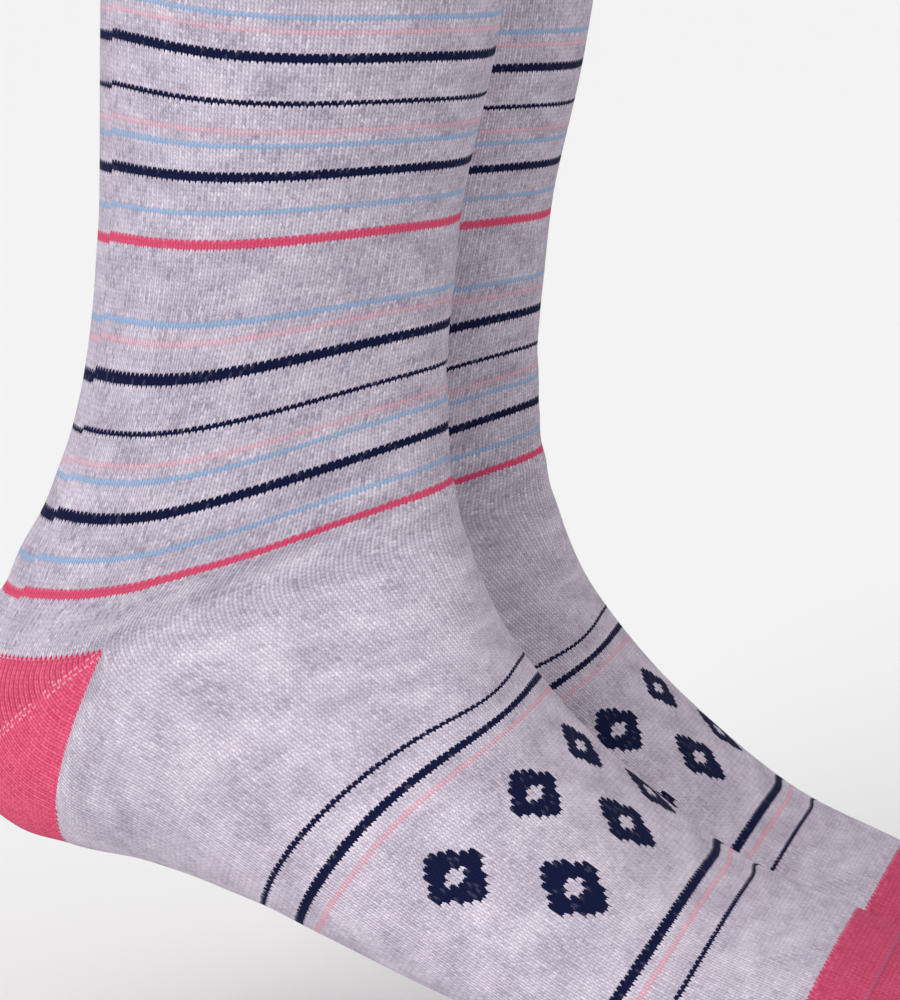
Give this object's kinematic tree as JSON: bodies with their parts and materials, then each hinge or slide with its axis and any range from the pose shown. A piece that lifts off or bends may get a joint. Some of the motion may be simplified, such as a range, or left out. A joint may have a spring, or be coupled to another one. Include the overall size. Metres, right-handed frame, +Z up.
{
  "type": "pair of socks",
  "caption": "Pair of women's crew socks, filled out as if worn, with striped heather legs and hot pink heel and toe pockets.",
  "frame": {"origin": "midway between the middles of the two cuff openings, where the wearer's legs hold the pair", "axes": "+Z up along the legs out of the cuffs, toes towards -Y, right sock at -X and left sock at +X"},
  "size_m": [0.1914, 0.2403, 0.3049],
  "materials": {
    "heather_knit": "matte knitted cotton, heather grey-lilac with thin stripes",
    "pink_knit": "matte knitted cotton, hot pink"
  },
  "bodies": {
    "root": {"right_cuff": "heather_knit", "right_leg": "heather_knit", "right_heel": "pink_knit", "right_foot": "heather_knit", "right_toe": "pink_knit", "left_cuff": "heather_knit", "left_leg": "heather_knit", "left_heel": "pink_knit", "left_foot": "heather_knit", "left_toe": "pink_knit"}
  },
  "joints": []
}
